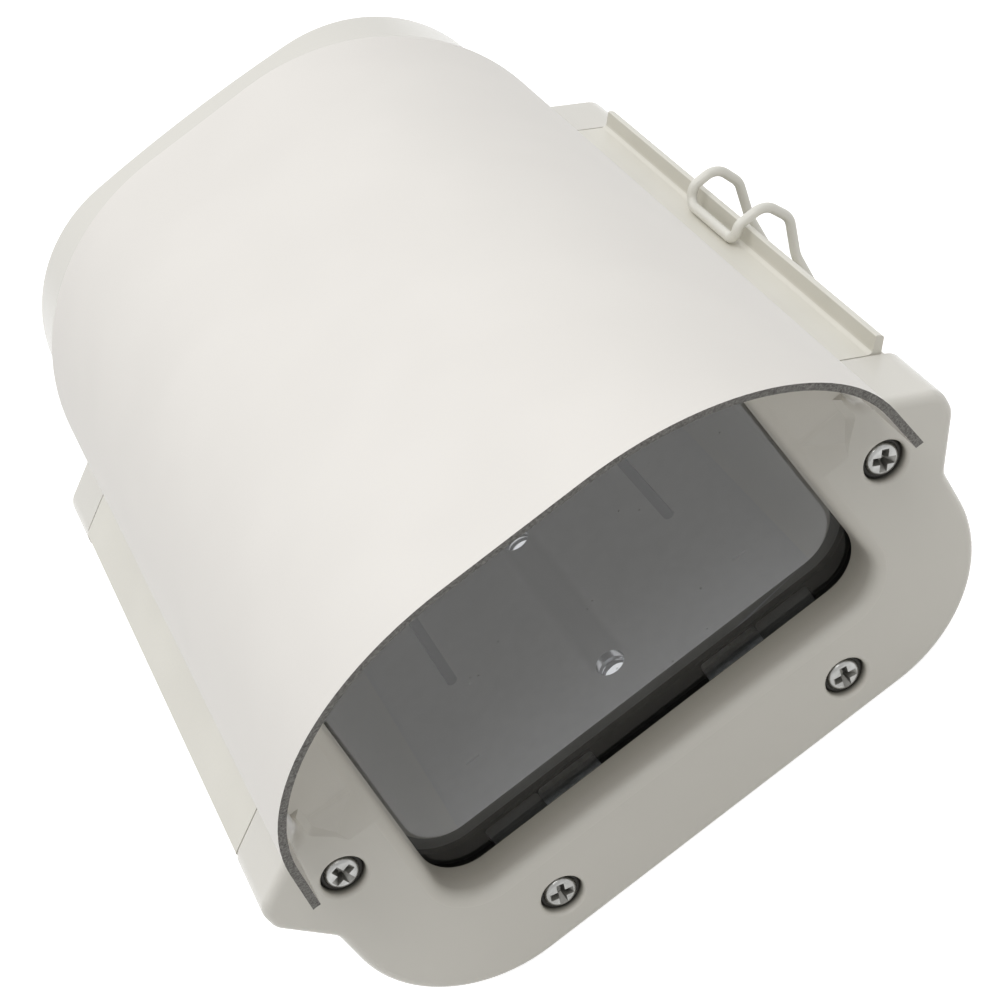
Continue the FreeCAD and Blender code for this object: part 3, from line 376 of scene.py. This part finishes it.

# Painted shade, with a rougher paint: the ledge below the glass is painted darker inwards, darkest
# where it meets the gasket, and the walls of the screw recesses are painted darker too.
OPENING_X, OPENING_LOW, OPENING_TOP = 0.056, -0.003, 0.084
LEDGE_DEPTH, RECESS_DEPTH = 0.0092, 0.003
LEDGE_Z, UNSHADED_Z = 0.008, 0.022
ALL_HEIGHTS = (1.0, 0.5)             # both above the part, so that the painted shade reaches every height
DULL = (0.46, 0.54)                  # least and greatest roughness where the shade is painted
FACE_TURN = 0.999                    # cosine above which a face is the cap's flat front
RECESS_PAINT, LEDGE_PAINT = 1, 2     # a cap's finishes after its coat
# The painted shade's colour stops, from the cap's face inwards.
LEDGE_SHADE = ((0.11, "#EDEDEC"), (0.28, "#E4E3E1"), (0.65, "#C9C7C3"), (1.0, "#B6B4AF"))
RECESS_SHADE = ((0.25, "#E6E5E2"), (0.6, "#8F8D88"), (1.0, "#5E5C58"))


def with_painted_shade(name, face_y, floor_y, shade_stops, heights):
    """The cap paint with painted shade: darker from the cap's face inwards, and unshaded above the
    given heights.
    """
    made = cap_coat.copy()
    made.name = name
    tree = made.node_tree
    paint = tree.nodes["Principled BSDF"]
    tint = paint.inputs["Base Color"].links[0].from_node
    sheen = paint.inputs["Roughness"].links[0].from_node
    sheen.inputs["To Min"].default_value, sheen.inputs["To Max"].default_value = DULL
    place = node(tree, "ShaderNodeTexCoord")
    apart = node(tree, "ShaderNodeSeparateXYZ", None, {0: (place, "Object")})
    inwards = node(tree, "ShaderNodeMapRange", {"From Min": face_y, "From Max": floor_y},
                   {"Value": (apart, "Y")})
    shade_ramp = node(tree, "ShaderNodeValToRGB", None, {"Fac": (inwards, 0)})
    ramp = shade_ramp.color_ramp.elements
    ramp[0].color, ramp[1].color = linear("#FFFFFF"), linear(shade_stops[-1][1])
    for position, code in shade_stops[:-1]:
        ramp.new(position).color = linear(code)
    low_down = node(tree, "ShaderNodeMapRange", {"From Min": heights[0], "From Max": heights[1]},
                    {"Value": (apart, "Z")})
    shaded = node(tree, "ShaderNodeMixRGB", {"blend_type": "MULTIPLY"},
                 {"Fac": (low_down, 0), "Color1": (tint, "Color"), "Color2": (shade_ramp, "Color")})
    tree.links.new(shaded.outputs["Color"], paint.inputs["Base Color"])
    return made


front_y, rear_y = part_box("front_cap")[0].y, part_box("rear_cap")[1].y
dress("front_cap", cap_coat,
      with_painted_shade("cap_paint_with_painted_shade_in_front_recesses", front_y, front_y + RECESS_DEPTH, RECESS_SHADE,
             ALL_HEIGHTS),
      with_painted_shade("cap_paint_with_painted_shade_below_the_glass", front_y, front_y + LEDGE_DEPTH, LEDGE_SHADE,
             (UNSHADED_Z, LEDGE_Z)))
dress("rear_cap", cap_coat,
      with_painted_shade("cap_paint_with_painted_shade_in_rear_recesses", rear_y, rear_y - RECESS_DEPTH, RECESS_SHADE,
             ALL_HEIGHTS))
# The ledge below the glass gets the paint with painted shade.
for face in nodes["front_cap"].data.polygons:
    c = face.center
    if (abs(c.x) < OPENING_X and OPENING_LOW < c.z < OPENING_TOP
            and c.y < front_y + LEDGE_DEPTH and face.normal.y > -FACE_TURN):
        face.material_index = LEDGE_PAINT


# Wire latch
# One length of spring wire, bent to a bail that turns in its bracket and snaps over the lid's lip.
# Its coat matches the housing, and is thinner and smoother than on the sheet.
dress("wire_latch", powder_coat("coated_spring_wire", "#E8E6DE", "#E0DED5", 0.3, peel_mm=1.6))


# Bracket, plate, clips and small screws
# The latch bracket, the camera plate and the glass clips are pressed from sheet steel and plated
# with zinc, as their screws are: bright but dull grey, with the faint bloom of the plating.
BLOOM_MM = 3.0
BLOOM_SMOOTHER, BLOOM_ROUGHER = 0.06, 0.08   # roughness, below and above the metal's own
GRAIN_DEPTH = 0.00002


def plated(name, light, dark, roughness, grain_mm=0.8):
    """Plated or bare metal: a faint bloom, and a grain drawn coarser than it is, so it shows."""
    made = bpy.data.materials.new(name)
    tree = empty_tree(made)
    place = node(tree, "ShaderNodeTexCoord")
    bloom = node(tree, "ShaderNodeTexNoise", {"Scale": mm(BLOOM_MM), "Detail": 4.0},
                 {"Vector": (place, "Object")})
    tint = node(tree, "ShaderNodeValToRGB", None, {"Fac": (bloom, "Fac")})
    tint.color_ramp.elements[0].position, tint.color_ramp.elements[0].color = 0.3, linear(dark)
    tint.color_ramp.elements[1].position, tint.color_ramp.elements[1].color = 0.7, linear(light)
    grain = node(tree, "ShaderNodeTexNoise", {"Scale": mm(grain_mm), "Detail": 3.0},
                 {"Vector": (place, "Object")})
    relief = node(tree, "ShaderNodeBump", {"Strength": 0.4, "Distance": GRAIN_DEPTH},
                  {"Height": (grain, "Fac")})
    dull = node(tree, "ShaderNodeMapRange",
                {"To Min": roughness - BLOOM_SMOOTHER, "To Max": roughness + BLOOM_ROUGHER},
                {"Value": (bloom, "Fac")})
    metal = node(tree, "ShaderNodeBsdfPrincipled", {"Metallic": 1.0},
                 {"Base Color": (tint, "Color"), "Roughness": (dull, 0),
                  "Normal": (relief, "Normal")})
    node(tree, "ShaderNodeOutputMaterial", None, {"Surface": (metal, "BSDF")})
    return made


zinc = plated("zinc_plated_steel", "#C6C8C9", "#A9ABAC", 0.34)
for name in ("latch_bracket", "camera_plate", "camera_screw", "glass_clips", "clip_screws"):
    dress(name, zinc)

# The rivets and the shield's standoffs are turned aluminium, a little lighter than the zinc. The
# shield's screws are stainless steel, smoother and warmer, and the earth screw is yellow brass.
bare_aluminium = plated("turned_aluminium", "#C9CACB", "#B4B5B6", 0.3)
for name in ("latch_rivets", "shield_standoffs"):
    dress(name, bare_aluminium)
dress("shield_screws", plated("stainless_steel", "#BEBDBA", "#A3A29F", 0.25))
dress("earth_screw", plated("turned_brass", "#CDAE6A", "#B5934F", 0.3))


# Gaskets and seals
# Black rubber, pressed between cap and tray, glass and cap, lid and tray, and in each gland round
# the cable's place: matt, with a fine grain and a faint grey bloom.
RUBBER_BLOOM_MM = 6.0
FINE_GRAIN_DEPTH = 0.00003


def moulded(name, colour, bloom_colour, roughness, grain_mm):
    """Rubber or plastic: a faint bloom, and a grain drawn coarser than it is, so it shows."""
    made = bpy.data.materials.new(name)
    tree = empty_tree(made)
    place = node(tree, "ShaderNodeTexCoord")
    bloom = node(tree, "ShaderNodeTexNoise", {"Scale": mm(RUBBER_BLOOM_MM), "Detail": 5.0},
                 {"Vector": (place, "Object")})
    tint = node(tree, "ShaderNodeValToRGB", None, {"Fac": (bloom, "Fac")})
    tint.color_ramp.elements[0].position, tint.color_ramp.elements[0].color = 0.4, linear(colour)
    tint.color_ramp.elements[1].position = 0.75
    tint.color_ramp.elements[1].color = linear(bloom_colour)
    grain = node(tree, "ShaderNodeTexNoise", {"Scale": mm(grain_mm), "Detail": 2.0},
                 {"Vector": (place, "Object")})
    relief = node(tree, "ShaderNodeBump", {"Strength": 1.0, "Distance": FINE_GRAIN_DEPTH},
                  {"Height": (grain, "Fac")})
    body = node(tree, "ShaderNodeBsdfPrincipled", {"Roughness": roughness, "IOR": 1.5},
                {"Base Color": (tint, "Color"), "Normal": (relief, "Normal")})
    node(tree, "ShaderNodeOutputMaterial", None, {"Surface": (body, "BSDF")})
    return made


rubber = moulded("black_rubber", "#24231F", "#32302B", 0.65, 0.5)
for name in ("window_gasket", "front_gasket", "rear_gasket", "lid_seals", "gland_seals"):
    dress(name, rubber)


# Cap screws
# Pan-head screws, bright with nickel, with a cross recess that the punch leaves tapered, and
# flared at its rim. Each stands in its round recess in the cap, on a black rubber ring that keeps
# the water out and also stands in for the shade in the gap round its head.
CAD_HEAD_R = 0.0032
SCREW_HEAD_R, SCREW_HEAD_H = 0.0036, 0.0024
SCREW_SHANK_R, SCREW_SHANK_L = 0.00175, 0.0225
SCREW_SHOULDER, SCREW_POINT = 0.0015, 0.0009
WING_L, WING_W, WING_DEPTH = 0.0045, 0.0014, 0.0018
WING_TAPER, WING_FLARE, FLARE_GROWTH = 0.4, 0.00015, 1.25
HEAD_SIDES, SHOULDER_STEPS = 64, 8
SHANK_SIDES, POINT_STEPS = 32, 3
SMOOTH_ANGLE = math.radians(35)
UPRIGHT = 0.5         # a face is upright where its normal's Z is under this, either way
PUNCHED = 1           # the screw's finish after its nickel
LOW_PAIR_X = 0.0345
RECESS_EDGE_R, BELOW_FACE = 0.0053, 0.00002
SEAL_R, SEAL_SECTION_R = 0.0037, 0.0007
SEAL_SIDES, SEAL_SECTION_SIDES = 64, 16
FRONT_TURNS = (71, 77, 14, 57)   # where each cross came to rest, in degrees
REAR_TURNS = (40, 5, 21, 63)


def start(kind, **settings):
    """Adds a primitive with nothing else selected and returns it."""
    bpy.ops.object.select_all(action="DESELECT")
    getattr(bpy.ops.mesh, "primitive_%s_add" % kind)(**settings)
    return bpy.context.object


def apply_modifier(piece, kind, **settings):
    """Adds a modifier with these settings and applies it."""
    bpy.context.view_layer.objects.active = piece
    made = piece.modifiers.new(kind.lower(), kind)
    for name, value in settings.items():
        setattr(made, name, value)
    bpy.ops.object.modifier_apply(modifier=made.name)


def select(piece, test, kind="VERT"):
    """In edit mode, selects only the vertices or faces that pass the test."""
    bpy.ops.mesh.select_mode(type=kind)
    bpy.ops.mesh.select_all(action="DESELECT")
    bpy.ops.object.mode_set(mode="OBJECT")
    parts = piece.data.vertices if kind == "VERT" else piece.data.polygons
    for part in parts:
        part.select = test(part)
    bpy.ops.object.mode_set(mode="EDIT")


def bake_place(piece):
    """Puts the piece's place, turn and scale into its mesh."""
    bpy.ops.object.select_all(action="DESELECT")
    piece.select_set(True)
    bpy.context.view_layer.objects.active = piece
    bpy.ops.object.transform_apply(location=True, rotation=True, scale=True)


def join(pieces, name):
    """Joins the pieces into one, named, with its place in its mesh."""
    bpy.ops.object.select_all(action="DESELECT")
    for piece in pieces:
        piece.select_set(True)
    bpy.context.view_layer.objects.active = pieces[0]
    if len(pieces) > 1:
        bpy.ops.object.join()
    whole = bpy.context.object
    whole.name = name
    bake_place(whole)
    bpy.ops.object.mode_set(mode="EDIT")
    bpy.ops.mesh.select_all(action="SELECT")
    bpy.ops.mesh.normals_make_consistent(inside=False)
    bpy.ops.object.mode_set(mode="OBJECT")
    bpy.ops.object.shade_smooth_by_angle(angle=SMOOTH_ANGLE)
    return whole


# The nickel is smooth enough to mirror the pale floor. The punched recess is rougher and painted
# darker, as painted shade in the recess.
nickel = plated("nickel_plated_steel", "#B5B5B3", "#8E8E8B", 0.27)
recess_shade_metal = plated("nickel_with_painted_shade_in_the_recess", "#94938F", "#63625E", 0.4, grain_mm=0.5)


def cross_screw():
    """One screw along Z, head up, with its head's seat at the origin."""
    head = start("cylinder", vertices=HEAD_SIDES, radius=SCREW_HEAD_R, depth=SCREW_HEAD_H,
                 location=(0, 0, SCREW_HEAD_H / 2))
    bpy.ops.object.mode_set(mode="EDIT")
    select(head, lambda v: v.co.z > 0)
    bpy.ops.mesh.bevel(offset=SCREW_SHOULDER, segments=SHOULDER_STEPS, profile=0.5,
                       affect="EDGES")
    bpy.ops.object.mode_set(mode="OBJECT")
    bake_place(head)
    punch = start("cube", size=1, location=(0, 0, SCREW_HEAD_H - (WING_DEPTH + WING_FLARE) / 2))
    punch.scale = (WING_W, WING_W, WING_DEPTH - WING_FLARE)
    bake_place(punch)
    bpy.ops.object.mode_set(mode="EDIT")
    select(punch, lambda f: abs(f.normal.z) < UPRIGHT, "FACE")
    bpy.ops.mesh.extrude_faces_move(TRANSFORM_OT_shrink_fatten={"value": (WING_L - WING_W) / 2})
    low = min(v.co.z for v in punch.data.vertices)
    select(punch, lambda v: v.co.z < low + NEAR)
    bpy.ops.transform.resize(value=(WING_TAPER, WING_TAPER, 1))
    select(punch, lambda f: f.normal.z > FACING_UP, "FACE")
    bpy.ops.mesh.extrude_region_move(TRANSFORM_OT_translate={"value": (0, 0, 2 * WING_FLARE)})
    bpy.ops.transform.resize(value=(FLARE_GROWTH, FLARE_GROWTH, 1))
    bpy.ops.object.mode_set(mode="OBJECT")
    for piece in (head, punch):
        piece.data.materials.append(nickel)
        piece.data.materials.append(recess_shade_metal)
    for face in punch.data.polygons:
        face.material_index = PUNCHED
    apply_modifier(head, "BOOLEAN", operation="DIFFERENCE", object=punch, solver="EXACT")
    bpy.data.objects.remove(punch)
    shank = start("cylinder", vertices=SHANK_SIDES, radius=SCREW_SHANK_R, depth=SCREW_SHANK_L,
                  location=(0, 0, -SCREW_SHANK_L / 2))
    bpy.ops.object.mode_set(mode="EDIT")
    select(shank, lambda v: v.co.z < 0)
    bpy.ops.mesh.bevel(offset=SCREW_POINT, segments=POINT_STEPS, affect="EDGES")
    bpy.ops.object.mode_set(mode="OBJECT")
    return join([head, shank], "cross_screw")


pattern = cross_screw()
for node_name, turns, facing in (("front_screws", FRONT_TURNS, 1), ("rear_screws", REAR_TURNS, -1)):
    low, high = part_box(node_name)
    seat_y = low.y + SCREW_HEAD_H if facing > 0 else high.y - SCREW_HEAD_H
    nose_x = high.x - CAD_HEAD_R
    low_z, high_z = low.z + CAD_HEAD_R, high.z - CAD_HEAD_R
    places = ((-LOW_PAIR_X, low_z), (LOW_PAIR_X, low_z), (-nose_x, high_z), (nose_x, high_z))
    # The walls of each screw's recess in the cap get the paint with painted shade.
    for face in nodes[node_name.replace("screws", "cap")].data.polygons:
        c = face.center
        inside = abs(c.y - seat_y) < RECESS_DEPTH - BELOW_FACE
        if inside and min(math.dist((c.x, c.z), at) for at in places) < RECESS_EDGE_R:
            face.material_index = RECESS_PAINT
    copies, rings = [], []
    for (x, z), turn in zip(places, turns):
        copy = bpy.data.objects.new("screw", pattern.data.copy())
        bpy.context.scene.collection.objects.link(copy)
        tilt = Matrix.Rotation(math.radians(90 * facing), 4, "X")
        copy.matrix_world = (Matrix.Translation((x, seat_y, z)) @ tilt
                             @ Matrix.Rotation(math.radians(turn), 4, "Z"))
        copies.append(copy)
        rings.append(start("torus", major_segments=SEAL_SIDES, minor_segments=SEAL_SECTION_SIDES,
                           major_radius=SEAL_R, minor_radius=SEAL_SECTION_R,
                           rotation=(math.radians(90), 0, 0),
                           location=(x, seat_y - facing * SEAL_SECTION_R, z)))
    seals = join(rings, "seals_under_" + node_name)
    seals.data.materials.append(rubber)
    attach(seals, "housing")
    screws = join(copies, "cross_recess_" + node_name)
    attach(screws, "housing")
    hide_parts(node_name)
bpy.data.objects.remove(pattern)


# Threads of the bracket holes
# Cut 1/4 inch threads, twenty to the inch, in the two holes that take the mounting bracket's
# screws. They and the holes' walls are bright, where the drill and the tap have cut bare metal.
HOLE_R = 0.003175
HOLE_PITCH = 0.05
THREAD_PITCH, THREAD_HEIGHT = 0.00127, 0.0004
THREAD_START, THREAD_TURNS = 0.0003, 2
TURN_SIDES = 48

threads = []
for y in (-HOLE_PITCH / 2, HOLE_PITCH / 2):
    ridge = start("circle", vertices=3, radius=THREAD_HEIGHT, fill_type="NOTHING",
                  location=(HOLE_R, 0, THREAD_START), rotation=(math.radians(90), 0, 0))
    bake_place(ridge)
    apply_modifier(ridge, "SCREW", axis="Z", screw_offset=THREAD_PITCH, iterations=THREAD_TURNS,
                   steps=TURN_SIDES, render_steps=TURN_SIDES, use_merge_vertices=False)
    bpy.ops.object.mode_set(mode="EDIT")
    bpy.ops.mesh.select_all(action="SELECT")
    bpy.ops.mesh.fill_holes(sides=3)
    bpy.ops.object.mode_set(mode="OBJECT")
    ridge.location.y = y
    threads.append(ridge)
thread = join(threads, "bracket_hole_threads")
tapped = plated("tapped_aluminium", "#DADADA", "#C4C4C4", 0.22)
thread.data.materials.append(tapped)
tray = nodes["tray"].data
tray.materials.append(tapped)
for face in tray.polygons:
    c = face.center
    if (abs(face.normal.z) < UPRIGHT
            and math.dist((c.x, abs(c.y)), (0, HOLE_PITCH / 2)) < HOLE_R + NEAR):
        face.material_index = len(tray.materials) - 1
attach(thread, "housing")


# Cable glands
# Moulded in black polyamide, with the fine texture of a spark-eroded mould. Each is held in the
# rear cap by its locknut. Its dome nut presses a rubber sleeve, which has no cable in it here.
polyamide = moulded("black_polyamide", "#1D1D1E", "#262627", 0.45, 0.6)
for name in ("gland_bodies", "gland_locknuts", "gland_caps"):
    dress(name, polyamide)


# Camera washer
# Punched from red vulcanised fibre, dull and slightly mottled. It lies between the camera screw's
# head and the underside of the plate.
dress("camera_washer", moulded("vulcanised_fibre", "#6E2F25", "#7C3A2E", 0.6, 0.4))


# Window glass
# Clear float glass, bare on both faces, so the pale floor in front shows in it as an even grey
# veil over the bay, down to where the window's own lower edge is mirrored. A few specks of dust.
DUST_MM, SPECK_COVER = 7.0, 0.35
SPECK_CORE, SPECK_EDGE = 0.02, 0.045   # radii, against the distance between specks
BOTH_FACES = 1.7                       # what both faces mirror, against one
glass = bpy.data.materials.new("float_glass")
tree = empty_tree(glass)
clear = node(tree, "ShaderNodeBsdfTransparent", {"Color": linear("#ECEDEF")})
shine = node(tree, "ShaderNodeBsdfGlossy", {"Color": (1, 1, 1, 1), "Roughness": 0.02})
edge = node(tree, "ShaderNodeFresnel", {"IOR": 1.5})
side = node(tree, "ShaderNodeNewGeometry")
outer = node(tree, "ShaderNodeMath", {"operation": "SUBTRACT", 0: 1.0}, {1: (side, "Backfacing")})
one_face = node(tree, "ShaderNodeMath", {"operation": "MULTIPLY"}, {0: (edge, 0), 1: (outer, 0)})
two_faces = node(tree, "ShaderNodeMath", {"operation": "MULTIPLY", 1: BOTH_FACES},
                 {0: (one_face, 0)})
pane = node(tree, "ShaderNodeMixShader", None, {0: (two_faces, 0), 1: (clear, 0), 2: (shine, 0)})
place = node(tree, "ShaderNodeTexCoord")
dust = node(tree, "ShaderNodeTexVoronoi", {"Scale": mm(DUST_MM)}, {"Vector": (place, "Object")})
speck = node(tree, "ShaderNodeMapRange",
             {"From Min": SPECK_CORE, "From Max": SPECK_EDGE, "To Min": SPECK_COVER, "To Max": 0.0},
             {"Value": (dust, "Distance")})
grain = node(tree, "ShaderNodeBsdfDiffuse", {"Color": linear("#B9B7B0")})
dusty = node(tree, "ShaderNodeMixShader", None, {0: (speck, 0), 1: (pane, 0), 2: (grain, 0)})
node(tree, "ShaderNodeOutputMaterial", None, {"Surface": (dusty, 0)})
dress("window_glass", glass)


# Size
# The CAD model's box and the visual model's, in metres.
low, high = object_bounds()
